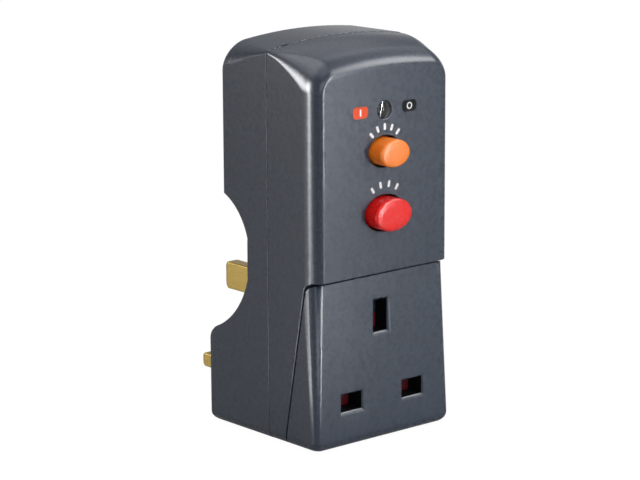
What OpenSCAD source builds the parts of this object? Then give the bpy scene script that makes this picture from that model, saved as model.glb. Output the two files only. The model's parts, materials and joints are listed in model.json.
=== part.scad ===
// RCD adapter plug: a mains adapter with a socket, reset and test buttons and plug pins.
// Millimetres. +Z is up, the socket faces -Y and the plug pins point to +Y.
// The origin is the middle of the base. Shapes are drawn from the front face backwards.

/* [Body] */
// Width of the casing
body_w = 49; // [47:0.5:54]
// Height of the casing at its crown
body_h = 110; // [109:0.5:114]
// Depth from the front face to the plug face
body_d = 45.6; // [45:0.1:48]
// Depth from the front face to the upper back
upper_d = 39; // [38.5:0.1:40]
// Depth of the parting line behind the front face
seam_d = 20; // [19.5:0.1:20.5]
// Wall thickness of the casing
wall = 2.2; // [1.8:0.1:2.4]
// Radius of the upright front corners
corner_r = 4; // [3:0.1:4.5]
// Radius of the crown across the top
crown_r = 150; // [120:5:200]
// Radius of the fall of the top towards the front
slope_r = 50; // [45:1:60]
// Radius where the top turns into the front face
brow_r = 3.5; // [3:0.1:5]
// Radius where the top turns into the upper back
nape_r = 4; // [3:0.1:5]
// Radius of the shoulders between top and sides
shoulder_r = 7; // [6:0.5:9]
// Fall of the front shoulders, in degrees
front_shoulder_tilt = 27; // [22:1:30]
// Fall of the rear shoulders, in degrees
rear_shoulder_tilt = 14; // [10:1:18]

/* [Finger scoops] */
// Height of the deepest point of a scoop
scoop_z = 50; // [49:0.5:51]
// Depth of that point behind the front face
scoop_d = 28.1; // [27.8:0.1:29]
// Radius of the scoop above that point
scoop_upper_r = 17.7; // [17:0.1:18]
// Radius of the scoop below that point
scoop_lower_r = 24; // [23.5:0.1:25]
// Width of the plug block between the scoops
plug_block_w = 22; // [21.6:0.1:23]
// Radius of the lip under a scoop
lip_r = 5; // [4:0.1:6]
// Height of the plug face
plug_face_h = 50; // [48:0.5:52]

/* [Socket cover] */
// Height of the step above the socket cover
step_z = 47; // [46:0.1:47.5]
// Gap round the socket cover
cover_gap = 0.4; // [0.2:0.1:0.6]
// How far the cover's top edge stands back under the step
cover_recess = 1.6; // [1:0.1:2]
// Depth of the gap line on the sides at the step
gap_top_d = 5.6; // [5:0.1:6.5]
// Depth of the gap line on the sides at the base
gap_base_d = 12.4; // [11.5:0.1:13]
// Radius of the gap line's upper corner
gap_corner_r = 2.8; // [2:0.1:3.5]

/* [Pins and slots] */
// Distance between line and neutral
pin_pitch = 22.2; // [22:0.05:22.4]
// Height of the earth pin above line and neutral
earth_rise = 22.2; // [22:0.05:22.4]
// Height of line and neutral above the base
live_z = 12.4; // [12.2:0.1:13]
// Width of a line or neutral pin
live_pin_w = 6.4; // [6.2:0.05:6.5]
// Height of a line or neutral pin
live_pin_h = 4; // [3.9:0.05:4.1]
// Length of a line or neutral pin beyond the plug face
live_pin_l = 17.7; // [17.2:0.1:18.2]
// Length of the sleeve on a line or neutral pin
sleeve_l = 9.5; // [9:0.1:10]
// Width of the earth pin
earth_pin_w = 4; // [3.9:0.05:4.1]
// Height of the earth pin
earth_pin_h = 8; // [7.8:0.05:8.1]
// Length of the earth pin beyond the plug face
earth_pin_l = 22.4; // [22.2:0.1:23]
// Room round a pin in its slot, on each side
slot_room = 0.5; // [0.4:0.05:0.6]
// Chamfer round the mouth of a slot
slot_chamfer = 0.45; // [0.2:0.05:0.6]

/* [Buttons] */
// Height of the reset button's middle
reset_z = 80.4; // [80:0.1:81]
// Width of the reset button
reset_w = 10.4; // [9.6:0.1:11.2]
// Height of the reset button
reset_h = 7.6; // [7.2:0.1:8.4]
// How far the reset button stands out
reset_proud = 5; // [4.5:0.1:6]
// Travel of the reset button
reset_travel = 3.5; // [2.5:0.1:3.6]
// Height of the test button's middle
test_z = 63.5; // [63:0.1:64]
// Width of the test button
test_w = 13; // [12:0.1:14]
// Height of the test button
test_h = 9; // [8.6:0.1:10]
// How far the test button stands out
test_proud = 4.4; // [4:0.1:5]
// Travel of the test button
test_travel = 2.5; // [2:0.1:2.6]
// Running gap round a button
button_gap = 0.3; // [0.2:0.05:0.4]

/* [Indicator] */
// Height of the indicator window's middle
window_z = 91.7; // [91.5:0.1:92.2]
// Diameter of the indicator window
window_d = 4.8; // [4.4:0.1:5]

/* [Inside] */
// Travel of the contact carriage from off to on
carriage_travel = 3; // [2.5:0.1:3]
// Travel of the shutter from closed to open
shutter_travel = 6.4; // [6.2:0.1:6.5]
// Running gap between sliding pieces
slide_gap = 0.3; // [0.25:0.05:0.35]
// Diameter of the case screws' shanks
screw_d = 2.8; // [2.6:0.1:3]
// Thickness of brass strip
strip_t = 1; // [0.8:0.1:1]

/* [Hidden] */
$fn = 48;

far = 200;
eps = 0.01;
half_w = body_w / 2;
live_x = pin_pitch / 2;
earth_z = live_z + earth_rise;
slot_live = [live_pin_w + 2 * slot_room, live_pin_h + 2 * slot_room];
slot_earth = [earth_pin_w + 2 * slot_room, earth_pin_h + 2 * slot_room];
cap_h = 45;
cap_z = body_h - cap_h;
slope_fall = 20;
shoulder_z = body_h - 3;
plastic = [0.27, 0.29, 0.33];
brass = [0.72, 0.58, 0.28];
steel = [0.68, 0.69, 0.71];

// Depths behind the front face
collar_d = 6.5;
shutter_d = collar_d + slide_gap;
shutter_t = 2;
block_front = shutter_d + shutter_t + slide_gap;
block_back = block_front + 15.2;
flange_d = wall + 0.2;
flange_t = 1.5;
plate_front = 12;
plate_back = 14;
board_front = 31;
board_back = 32.6;
pin_wall = body_d - wall;
head_front = pin_wall - 3.4;
tail_front = 34.5;
busbar_d = 27;
boss_seat_low = body_d - 7.6;
boss_seat_high = upper_d - 6;

// Heights and half widths of inner pieces
low_boss = [half_w - 5.3, 8];
low_boss_r = 4;
high_boss = [half_w - 5.5, body_h - 13];
ledge_z = step_z + wall;
toroid_z = ledge_z + 0.1;
toroid_h = 8;
frame_post = [14, [56, 88]];
coil_y = 21.5;
coil_z = 69.5;
lever_y = coil_y + 1.8;
lever_t = 1.6;
pivot = [8.5, coil_z + 6];
pivot_r = 1;
flag_pivot_d = 24;
flag_r = 16.3;
carriage_d = 21;
board_half_w = 14.5;
board_posts = [for (x = [-11, 11], z = [71, 100]) [x, z]];

// Contact block and shutter spring shelf
block_half_w = 16;
block_top = 43.5;
block_posts = [14, [41, 21]];
spring_shelf = [5, 8, 16.8, 18];

// Busbars and their contact tips
busbar_x = [2.9, 2.9 + strip_t];
busbar_w = 3;
bend_z = toroid_z + toroid_h + 1;
input_x = [5.2, 7.2];
output_x = [9.8, 11.8];
tip_r = 1;
tip_h = 0.6;

// Carriage rails, trip coil and plunger
rail_x = [13, 15];
coil_x = [-13, 4];
cheek_t = 1.2;
coil_r = 4.5;
plunger_r = 1.5;
plunger_travel = 1.6;
groove_half = 1.6;
collar_r = 3.4;

module from_front() {
    translate([0, -body_d / 2, 0]) children();
}

// Extrudes a side view, drawn as depth and height, across a width
module across(width) {
    rotate([90, 0, 90]) linear_extrude(height = width, center = true) children();
}

// Extrudes a front view, drawn as width and height, from one depth to another
module through(from_d, to_d) {
    translate([0, to_d, 0]) rotate([90, 0, 0]) linear_extrude(height = to_d - from_d) children();
}

module rod(r, from_d, to_d, at) {
    translate([at[0], from_d, at[1]]) rotate([-90, 0, 0]) cylinder(r = r, h = to_d - from_d);
}

module block(x, d, z) {
    translate([x[0], d[0], z[0]]) cube([x[1] - x[0], d[1] - d[0], z[1] - z[0]]);
}

module oval(w, h) {
    translate([h / 2 - w / 2, 0]) circle(d = h);
    translate([w / 2 - h / 2, 0]) circle(d = h);
    square([w - h, h], center = true);
}

// A coil of round wire along +Z from the origin, its ends level
function coil_point(r, l, turns, t) = [r * cos(360 * turns * t), r * sin(360 * turns * t), l * t];
module coil_spring(r, wire_r, l, turns) {
    sides = 6;
    steps = turns * 10;
    points = [for (i = [0:steps]) let (a = 36 * i) for (k = [0:sides - 1]) let (b = 360 * k / sides)
        coil_point(r, l - 2 * wire_r, turns, i / steps) + [0, 0, wire_r]
            + wire_r * [cos(b) * cos(a), cos(b) * sin(a), sin(b)]];
    faces = concat([[for (k = [0:sides - 1]) k]],
        [for (i = [0:steps - 1], k = [0:sides - 1]) let (n = (k + 1) % sides)
            [i * sides + k, (i + 1) * sides + k, (i + 1) * sides + n, i * sides + n]],
        [[for (k = [sides - 1:-1:0]) steps * sides + k]]);
    polyhedron(points = points, faces = faces, convexity = 8);
}

// Casing forms, each drawn inset from the outer skin so that a shell is one form less another
module front_plan(inset) {
    r = corner_r - inset * 0.8;
    w = half_w - inset;
    translate([-w, inset + r]) square([2 * w, seam_d - inset - r]);
    translate([r - w, inset]) square([2 * (w - r), r + eps]);
    for (side = [-1, 1]) translate([side * (w - r), inset + r]) circle(r);
}

// Side views of the two halves of the top, drawn as distance from the crown's axis and depth
module front_profile(inset) {
    r = brow_r - inset * 0.5;
    top = crown_r - inset;
    base = crown_r - cap_h - 2;
    slope_c = crown_r - slope_r;
    reach = slope_r - inset - r;
    run = seam_d - inset - r;
    brow_c = slope_c + sqrt(reach * reach - run * run);
    low = top - slope_fall;
    intersection() {
        union() {
            translate([base, inset - 1]) square([low - base + eps, seam_d + 6 - inset]);
            intersection() {
                translate([slope_c, seam_d]) circle(slope_r - inset, $fn = 180);
                translate([low, inset - 1]) square([slope_fall + 1, seam_d + 6 - inset]);
            }
        }
        union() {
            translate([base - 1, inset - 2]) square([brow_c - base + 1, far]);
            translate([base - 1, inset + r]) square([far, far]);
            translate([brow_c, inset + r]) circle(r);
        }
    }
}

module rear_profile(inset) {
    top = crown_r - inset;
    base = crown_r - cap_h - 2;
    nape = nape_r - inset;
    back = upper_d - inset;
    translate([base, seam_d - 1]) square([top - base - nape, back - seam_d + 1]);
    translate([base, seam_d - 1]) square([top - base, back - seam_d - nape + 1]);
    translate([top - nape, back - nape]) circle(nape);
}

// Turns a side view of the top about the crown's axis
module crown_turn() {
    sweep = 32;
    translate([0, 0, body_h - crown_r]) rotate([90, 0, 0]) rotate([0, 0, 90 - sweep / 2])
        rotate_extrude(angle = sweep, $fn = 180) mirror([0, 1]) children();
}

module shoulders(inset, tilt) {
    r = shoulder_r - inset;
    w = half_w - inset;
    translate([0, seam_d, shoulder_z]) rotate([tilt, 0, 0]) through(-far / 2, far / 2) {
        translate([-w, -far]) square([2 * w, far]);
        translate([r - w, -eps]) square([2 * (w - r), 20]);
        for (side = [-1, 1]) translate([side * (w - r), 0]) circle(r);
    }
}

module front_top(inset) {
    crown_turn() front_profile(inset);
    block([-body_w, body_w], [inset - 1, body_d], [0, cap_z + eps]);
}

module front_form() {
    intersection() {
        linear_extrude(height = body_h) front_plan(0);
        front_top(0);
        shoulders(0, front_shoulder_tilt);
    }
}

// The space inside the front, open at the parting line
module front_room(inset) {
    intersection() {
        block([inset - half_w, half_w - inset], [inset, seam_d + 2], [inset, body_h + 5]);
        front_top(inset);
        shoulders(inset, front_shoulder_tilt);
    }
}

module scoop(inset) {
    intersection() {
        translate([scoop_d + scoop_upper_r, scoop_z]) circle(scoop_upper_r + inset);
        translate([scoop_d - inset - 1, scoop_z - eps]) square([far, far]);
    }
    intersection() {
        translate([scoop_d + scoop_lower_r, scoop_z]) circle(scoop_lower_r + inset);
        translate([scoop_d - inset - 1, scoop_z - far]) square([far, far]);
    }
}

module side_view(inset) {
    lip = lip_r - inset;
    back = body_d - inset;
    lip_d = body_d - lip_r;
    run = scoop_d + scoop_lower_r - lip_d;
    lip_z = scoop_z - sqrt(pow(scoop_lower_r + lip_r, 2) - run * run);
    difference() {
        union() {
            translate([seam_d, inset]) square([upper_d - inset - seam_d, body_h - 2 * inset]);
            translate([seam_d, inset]) square([back - seam_d, lip_z - inset]);
            translate([seam_d, inset]) square([lip_d - seam_d, lip_z + lip - inset]);
            translate([lip_d, lip_z]) circle(lip);
        }
        scoop(inset);
    }
}

module plug_view(inset) {
    back = body_d - inset;
    translate([seam_d, inset]) square([upper_d - inset - seam_d, body_h - 2 * inset]);
    polygon([[seam_d, inset], [back, inset], [back, plug_face_h - inset],
        [upper_d - inset, plug_face_h + 8 - inset], [seam_d, plug_face_h + 8 - inset]]);
}

module rear_form(inset) {
    intersection() {
        union() {
            across(body_w - 2 * inset) side_view(inset);
            across(plug_block_w - 2 * inset) plug_view(inset);
        }
        union() {
            crown_turn() rear_profile(inset);
            block([-half_w, half_w], [inset, body_d], [inset, cap_z + eps]);
        }
        shoulders(inset, -rear_shoulder_tilt);
    }
}

// The side view of the space that belongs to the socket cover, its edge moved back by a shift
module cover_view(shift) {
    lean = atan((gap_base_d - gap_top_d) / step_z);
    top = step_z + shift;
    function edge(z) = gap_base_d + shift - (gap_base_d - gap_top_d) * z / step_z;
    corner_z = top - gap_corner_r;
    corner_d = edge(corner_z) - gap_corner_r / cos(lean);
    touch_z = corner_z + gap_corner_r * sin(lean);
    polygon([[-20, -10], [edge(-10), -10], [edge(touch_z), touch_z], [corner_d, corner_z], [corner_d, top], [-20, top]]);
    translate([corner_d, corner_z]) circle(gap_corner_r);
}

// The leaning front of the socket cover
module cover_front(inset) {
    rotate([-atan(cover_recess / step_z), 0, 0]) translate([-far / 2, inset, -far / 2]) cube([far, far, far]);
}

// A slot with a chamfered mouth that follows the lean of the cover's face
module slot_cut(size, x, z) {
    lean = cover_recess / step_z;
    mouth = 0.5;
    rim = [for (level = [[0, slot_chamfer], [slot_chamfer + mouth, -mouth]]) let (half = size / 2 + [level[0], level[0]])
        for (corner = [[-1, -1], [1, -1], [1, 1], [-1, 1]])
            [x + corner[0] * half[0], lean * (z + corner[1] * half[1]) + level[1], z + corner[1] * half[1]]];
    through(-1, collar_d + 1) translate([x, z]) square(size, center = true);
    polyhedron(points = rim, faces = [[0, 1, 2, 3], [7, 6, 5, 4], [0, 4, 5, 1], [1, 5, 6, 2], [2, 6, 7, 3],
        [3, 7, 4, 0]]);
}

module slot_cuts() {
    for (side = [-1, 1]) slot_cut(slot_live, side * live_x, live_z);
    slot_cut(slot_earth, 0, earth_z);
}

module slot_collars() {
    collar = 2 * 1.4;
    through(1.5, collar_d) {
        for (side = [-1, 1]) translate([side * live_x, live_z]) square(slot_live + [collar, collar], center = true);
        translate([0, earth_z]) square(slot_earth + [collar, collar], center = true);
    }
}

module screw(head_r, shank_r, from_d, to_d, head_h, at) {
    rod(shank_r, to_d, from_d + eps, at);
    difference() {
        rod(head_r, from_d, from_d + head_h, at);
        translate([at[0], from_d + head_h, at[1]]) cube([head_r * 1.2, head_h, 0.6], center = true);
        translate([at[0], from_d + head_h, at[1]]) cube([0.6, head_h, head_r * 1.2], center = true);
    }
}

// Casing
module front_housing() {
    color(plastic) from_front() difference() {
        union() {
            difference() {
                front_form();
                front_room(wall);
            }
            intersection() {
                front_room(wall / 2);
                union() {
                    block([-half_w, half_w], [0, plate_front + 1], [step_z, ledge_z]);
                    for (side = [-1, 1]) {
                        rod(2.8, wall / 2, seam_d, [side * high_boss[0], high_boss[1]]);
                        for (z = frame_post[1]) rod(2.2, wall / 2, plate_front, [side * frame_post[0], z]);
                    }
                }
            }
            cover_lip();
        }
        across(far) cover_view(0);
        cover_lip_room();
        through(-1, wall + 1) {
            translate([0, reset_z]) oval(reset_w + 2 * button_gap, reset_h + 2 * button_gap);
            translate([0, test_z]) oval(test_w + 2 * button_gap, test_h + 2 * button_gap);
        }
        rod(window_d / 2, -1, wall + 1, [0, window_z]);
        for (side = [-1, 1]) {
            rod(screw_d / 2 + 0.05, 6, seam_d + 1, [side * high_boss[0], high_boss[1]]);
            for (z = frame_post[1]) rod(1, 5, plate_front + 1, [side * frame_post[0], z]);
        }
    }
    color(plastic) from_front() cover_rebate();
}

// The rebate behind the gap line that the socket cover's edge laps over
module cover_rebate() {
    lap = 2;
    difference() {
        intersection() {
            translate([0, 0, wall + 0.15]) plan_ring(wall + 0.15, wall + 1.2, step_z - gap_corner_r - 1 - wall);
            difference() {
                across(far) cover_view(0);
                across(far) cover_view(-lap);
            }
        }
        for (side = [-1, 1]) rod(3.1, 0, seam_d, [side * low_boss[0], low_boss[1]]);
    }
}

// An upright band under the skin of the front, up to a height
module plan_ring(outer, inner, h) {
    linear_extrude(height = h) difference() {
        front_plan(outer);
        translate([0, 0.5]) front_plan(inner);
    }
}

module cover_lip() {
    intersection() {
        plan_ring(wall - 0.2, wall + 1.2, step_z - gap_corner_r - 1);
        across(far) cover_view(2);
    }
}

module cover_lip_room() {
    for (side = [-1, 1]) rod(3.1, 0, seam_d - 2, [side * low_boss[0], low_boss[1]]);
}

module socket_cover() {
    color(plastic) from_front() difference() {
        union() {
            intersection() {
                difference() {
                    front_form();
                    intersection() {
                        front_room(wall);
                        cover_front(wall);
                    }
                }
                cover_front(0);
                across(far) cover_view(-cover_gap);
            }
            intersection() {
                front_room(wall / 2);
                cover_front(wall / 2);
                union() {
                    slot_collars();
                    for (side = [-1, 1]) {
                        rod(2.8, 0, seam_d, [side * low_boss[0], low_boss[1]]);
                        for (z = block_posts[1]) rod(1.6, 0, block_front, [side * block_posts[0], z]);
                    }
                }
            }
        }
        slot_cuts();
        for (side = [-1, 1]) {
            rod(screw_d / 2 + 0.05, 6, seam_d + 1, [side * low_boss[0], low_boss[1]]);
            rod(1.05, 5, seam_d, [side * block_posts[0], block_posts[1][0]]);
        }
    }
}

module rear_housing() {
    color(plastic) from_front() difference() {
        union() {
            difference() {
                rear_form(0);
                rear_form(wall);
                intersection() {
                    block([-far, far], [seam_d - 1, seam_d + 3], [0, body_h]);
                    translate([0, -3, 0]) rear_form(wall);
                }
            }
            intersection() {
                rear_form(wall / 2);
                union() {
                    for (side = [-1, 1]) {
                        rod(low_boss_r, seam_d, body_d, [side * low_boss[0], low_boss[1]]);
                        rod(4, seam_d, upper_d, [side * high_boss[0], high_boss[1]]);
                    }
                    for (at = board_posts) rod(2.2, board_back, upper_d, at);
                    difference() {
                        block([-plug_block_w / 2, plug_block_w / 2], [seam_d, upper_d], [step_z + 0.2, ledge_z]);
                        translate([0, busbar_d, 0]) cylinder(r = 4.9, h = body_h);
                    }
                }
            }
        }
        for (side = [-1, 1]) {
            rod(screw_d / 2 + 0.2, 0, body_d, [side * low_boss[0], low_boss[1]]);
            rod(3, boss_seat_low, far, [side * low_boss[0], low_boss[1]]);
            rod(screw_d / 2 + 0.2, 0, upper_d, [side * high_boss[0], high_boss[1]]);
            rod(3, boss_seat_high, far, [side * high_boss[0], high_boss[1]]);
            through(tail_front, far) translate([side * live_x, live_z]) square([live_pin_w, live_pin_h], center = true);
        }
        through(tail_front, far) translate([0, earth_z]) square([earth_pin_w, earth_pin_h], center = true);
        for (at = board_posts) rod(1, board_front, board_back + 3, at);
    }
}

module case_screws() {
    color(steel) from_front() for (side = [-1, 1]) {
        screw(2.7, screw_d / 2, boss_seat_low, 9, 2, [side * low_boss[0], low_boss[1]]);
        screw(2.7, screw_d / 2, boss_seat_high, 9, 2, [side * high_boss[0], high_boss[1]]);
    }
}

// Buttons, each a barrel with a flange that keeps it in and a stem that guides it
module push_button(w, h, z, proud, stem_r, stem_end) {
    edge = 0.8;
    translate([0, 0, z]) {
        through(edge - proud, flange_d + eps) oval(w, h);
        through(-proud, edge - proud + eps) oval(w - 2 * edge, h - 2 * edge);
        button_nose(w, h, edge, proud);
        through(flange_d, flange_d + flange_t) oval(w + 2.4, h + 2.4);
        rod(stem_r, flange_d, stem_end, [0, 0]);
    }
}

// The rounded front edge of an oval barrel: half turns at its ends and straight runs between
module button_nose(w, h, edge, proud) {
    module quarter() {
        intersection() {
            circle(edge);
            translate([0, -edge]) square([edge, edge]);
        }
    }
    for (side = [-1, 1]) {
        translate([side * (w - h) / 2, edge - proud, 0]) rotate([-90, 0, 0]) rotate([0, 0, side * 90 - 180])
            rotate_extrude(angle = 180) translate([h / 2 - edge, 0]) quarter();
        translate([0, edge - proud, 0]) mirror([0, 0, side < 0 ? 1 : 0])
            translate([0, 0, h / 2 - edge]) rotate([0, 90, 0]) linear_extrude(height = w - h, center = true)
            rotate(90) mirror([0, 1]) quarter();
    }
}

module reset_button() {
    color([1, 0.5, 0.12]) from_front() difference() {
        push_button(reset_w, reset_h, reset_z, reset_proud, 2.4, 16);
        translate([0, 15.1, reset_z]) rotate([-90, 0, 0]) rotate_extrude() translate([2, -0.5]) square([1, 1]);
    }
}

module test_button() {
    color([0.88, 0.13, 0.12]) from_front() push_button(test_w, test_h, test_z, test_proud, 2, 14.5);
}

module button_spring(r, z) {
    seat = flange_d + flange_t;
    translate([0, seat, z]) rotate([-90, 0, 0]) coil_spring(r, 0.25, plate_front - seat, 5);
}

module reset_spring() {
    color(steel) from_front() button_spring(3.1, reset_z);
}

module test_spring() {
    color(steel) from_front() button_spring(2.7, test_z);
}

// Leaf that the test button's stem closes
module test_contact() {
    leaf_d = 14.5 + test_travel + slide_gap;
    color(brass) from_front() block([-1.5, 1.5], [leaf_d, leaf_d + 0.4], [55, 65]);
}

// Indicator: a clear light pipe in front of a two-coloured flag
module indicator_lens() {
    color([0.9, 0.95, 1, 0.5]) from_front() {
        rod(window_d / 2 - 0.03, 0.6, wall, [0, window_z]);
        rod(window_d / 2 + 0.8, wall, wall + 0.8, [0, window_z]);
        rod(window_d / 2 - 0.3, wall, flag_pivot_d - flag_r - 0.4, [0, window_z]);
    }
}

module indicator_flag() {
    shown = 2.6;
    up = asin(shown / flag_r);
    down = asin((shown + 5) / flag_r);
    color([0.12, 0.12, 0.13]) from_front() translate([0, flag_pivot_d, window_z]) difference() {
        union() {
            across(5.4) intersection() {
                difference() {
                    circle(flag_r);
                    circle(flag_r - 0.8);
                }
                polygon([[0, 0], [-far * cos(up), far * sin(up)], [-far, 0], [-far * cos(down), -far * sin(down)]]);
            }
            across(2.4) {
                translate([-flag_r + 0.4, -0.8]) square([flag_r - 0.4, 1.6]);
                circle(2.2);
                translate([-0.8, -5.4]) square([1.6, 5.4]);
                translate([0, -5.4]) circle(0.8);
            }
        }
        rotate([0, 90, 0]) cylinder(r = 1.05, h = 20, center = true);
    }
}

// Plug pins, with their heads behind the plug face
module pin_bar(w, h, x, z, from_d, to_d, tip) {
    translate([x, 0, z]) intersection() {
        linear_extrude(height = h, center = true)
            polygon([[-w / 2, from_d], [w / 2, from_d], [w / 2, to_d - tip], [w / 2 - tip * 0.6, to_d],
                [tip * 0.6 - w / 2, to_d], [-w / 2, to_d - tip]]);
        across(w) polygon([[from_d, -h / 2], [to_d - tip, -h / 2], [to_d, tip * 0.6 - h / 2],
            [to_d, h / 2 - tip * 0.6], [to_d - tip, h / 2], [from_d, h / 2]]);
    }
}

module live_pin(side) {
    core = [live_pin_w - 1, live_pin_h - 1];
    bare = body_d + sleeve_l;
    color(brass) from_front() {
        pin_bar(live_pin_w, live_pin_h, side * live_x, live_z, bare, body_d + live_pin_l, 1.6);
        pin_bar(core[0], core[1], side * live_x, live_z, tail_front, bare + eps, 0);
        through(head_front, pin_wall) translate([side * live_x, live_z]) square([8.4, 6.6], center = true);
    }
}

module line_pin() {
    live_pin(1);
}

module neutral_pin() {
    live_pin(-1);
}

module earth_pin() {
    color(brass) from_front() {
        pin_bar(earth_pin_w, earth_pin_h, 0, earth_z, tail_front - 1.5, body_d + earth_pin_l, 2);
        through(head_front, pin_wall) translate([0, earth_z]) square([7, 11], center = true);
    }
}

module pin_sleeves() {
    color([0.12, 0.12, 0.13]) from_front() for (side = [-1, 1]) through(pin_wall, body_d + sleeve_l)
        translate([side * live_x, live_z]) difference() {
            square([live_pin_w, live_pin_h], center = true);
            square([live_pin_w - 1, live_pin_h - 1], center = true);
        }
}

// Insulating plate that holds the pins' heads against the plug face
module pin_plate() {
    room = 0.1;
    color([0.85, 0.84, 0.8]) from_front() through(head_front - 2.4, head_front) difference() {
        union() {
            translate([-14.6, 5]) square([29.2, 14]);
            translate([0.4 + wall - plug_block_w / 2, 18]) square([plug_block_w - 2 * wall - 0.8, 24]);
        }
        for (side = [-1, 1]) translate([side * live_x, live_z])
            square([live_pin_w - 1 + room, live_pin_h - 1 + room], center = true);
        translate([0, earth_z]) square([earth_pin_w + room, earth_pin_h + room], center = true);
    }
}

// Socket contacts: sprung leaves on a web
module clip_profile(pin) {
    leaf = 0.6;
    half = pin / 2 + 0.1;
    web = 3.9;
    root = 3.2;
    web_front = block_back - strip_t;
    upper = [[block_back, web], [web_front, web], [web_front, root + leaf], [block_front + 5, half + leaf],
        [block_front + 1.5, half + 0.9 + leaf], [block_front + 1.5, half + 0.9], [block_front + 5, half],
        [web_front, root]];
    polygon(concat(upper, [for (k = [len(upper) - 1:-1:0]) [upper[k][0], -upper[k][1]]]));
}

module live_clip(side) {
    color(brass) from_front() translate([side * live_x, 0, live_z]) across(6) clip_profile(live_pin_h);
}

module line_contact() {
    live_clip(1);
}

module neutral_contact() {
    live_clip(-1);
}

module earth_contact() {
    color(brass) from_front() translate([0, 0, earth_z - 4]) linear_extrude(height = 8)
        mirror([1, -1]) clip_profile(earth_pin_w);
}

module contact_block() {
    color([0.8, 0.78, 0.72]) from_front() {
        through(block_front, block_back) difference() {
            translate([-block_half_w, 3.2]) square([2 * block_half_w, block_top - 3.2]);
            for (side = [-1, 1]) {
                translate([side * live_x, live_z]) square([6.6, 8.4], center = true);
                translate([side * block_posts[0], block_posts[1][0]]) circle(1.3);
                translate([side * low_boss[0], low_boss[1]]) circle(low_boss_r + slide_gap);
            }
            translate([0, earth_z]) square([8.4, 8.6], center = true);
        }
        block([spring_shelf[0], spring_shelf[1]], [shutter_d, block_front + eps], [spring_shelf[2], spring_shelf[3]]);
    }
}

module block_screws() {
    color(steel) from_front() for (side = [-1, 1])
        screw(2, 1, block_back, 6.5, 1.4, [side * block_posts[0], block_posts[1][0]]);
}

// Shutter: a bar behind both live slots on a stem with a ramp for the earth pin
module shutter() {
    bar_z = live_z - slot_live[1] / 2 - 0.9;
    color([0.8, 0.16, 0.24]) from_front() {
        difference() {
            through(shutter_d, shutter_d + shutter_t) {
                translate([-15.6, bar_z]) square([31.2, slot_live[1] + 1.8]);
                translate([-4, bar_z]) square([8, earth_z + 5 - bar_z]);
                translate([3, 28]) square([6, 2]);
            }
            across(far) polygon([[shutter_d - 1, earth_z - 2], [shutter_d, earth_z - 2],
                [shutter_d + 1.4, earth_z + 6], [shutter_d - 1, earth_z + 6]]);
        }
    }
}

module shutter_spring() {
    shelf = spring_shelf[3];
    color(steel) from_front() translate([6.5, shutter_d + shutter_t / 2, shelf]) coil_spring(0.7, 0.22, 28 - shelf, 6);
}

// Conductors, folded from brass strip
module earth_strap() {
    color(brass) from_front()
        block([-2, 2], [block_back, tail_front - 1.5], [earth_z - strip_t / 2, earth_z + strip_t / 2]);
}

module busbar(side) {
    near_d = busbar_d - busbar_w / 2;
    far_d = busbar_d + busbar_w / 2;
    low = [live_z - 2, live_z + 2];
    color(brass) from_front() mirror([side > 0 ? 0 : 1, 0, 0]) {
        block([busbar_x[0], live_x + 2], [tail_front - strip_t, tail_front], low);
        block(busbar_x, [near_d, tail_front], low);
        block(busbar_x, [near_d, far_d], [low[0], bend_z + busbar_w]);
        block(busbar_x, [plate_back, far_d], [bend_z, bend_z + busbar_w]);
        block([busbar_x[0], input_x[1]], [plate_back, plate_back + strip_t], [bend_z, bend_z + busbar_w]);
        block(input_x, [plate_back, plate_back + strip_t], [bend_z, reset_z + 2]);
        rod(tip_r, plate_back + strip_t - eps, plate_back + strip_t + tip_h, [mean(input_x), reset_z]);
    }
}

function mean(pair) = (pair[0] + pair[1]) / 2;

module line_busbar() {
    busbar(1);
}

module neutral_busbar() {
    busbar(-1);
}

module lead(side) {
    turn_z = block_top + 1.5;
    color(brass) from_front() mirror([side > 0 ? 0 : 1, 0, 0]) {
        block(output_x, [plate_back, plate_back + strip_t], [turn_z, reset_z + 2]);
        block(output_x, [plate_back, block_back + strip_t], [turn_z, turn_z + strip_t]);
        block(output_x, [block_back, block_back + strip_t], [live_z - 2, turn_z + strip_t]);
        rod(tip_r, plate_back + strip_t - eps, plate_back + strip_t + tip_h, [mean(output_x), reset_z]);
    }
}

module line_lead() {
    lead(1);
}

module neutral_lead() {
    lead(-1);
}

// Current transformer round both busbars
module ring(inner_r, outer_r, z, h) {
    translate([0, busbar_d, z]) rotate_extrude() translate([inner_r, 0]) square([outer_r - inner_r, h]);
}

module toroid_core() {
    color([0.35, 0.35, 0.37]) from_front() ring(5.3, 7.4, toroid_z + 0.6, toroid_h - 1.2);
}

module toroid_winding() {
    color([0.7, 0.38, 0.18]) from_front() difference() {
        ring(4.7, 8, toroid_z, toroid_h);
        ring(5.3, 7.4, toroid_z + 0.6, toroid_h - 1.2);
    }
}

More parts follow.
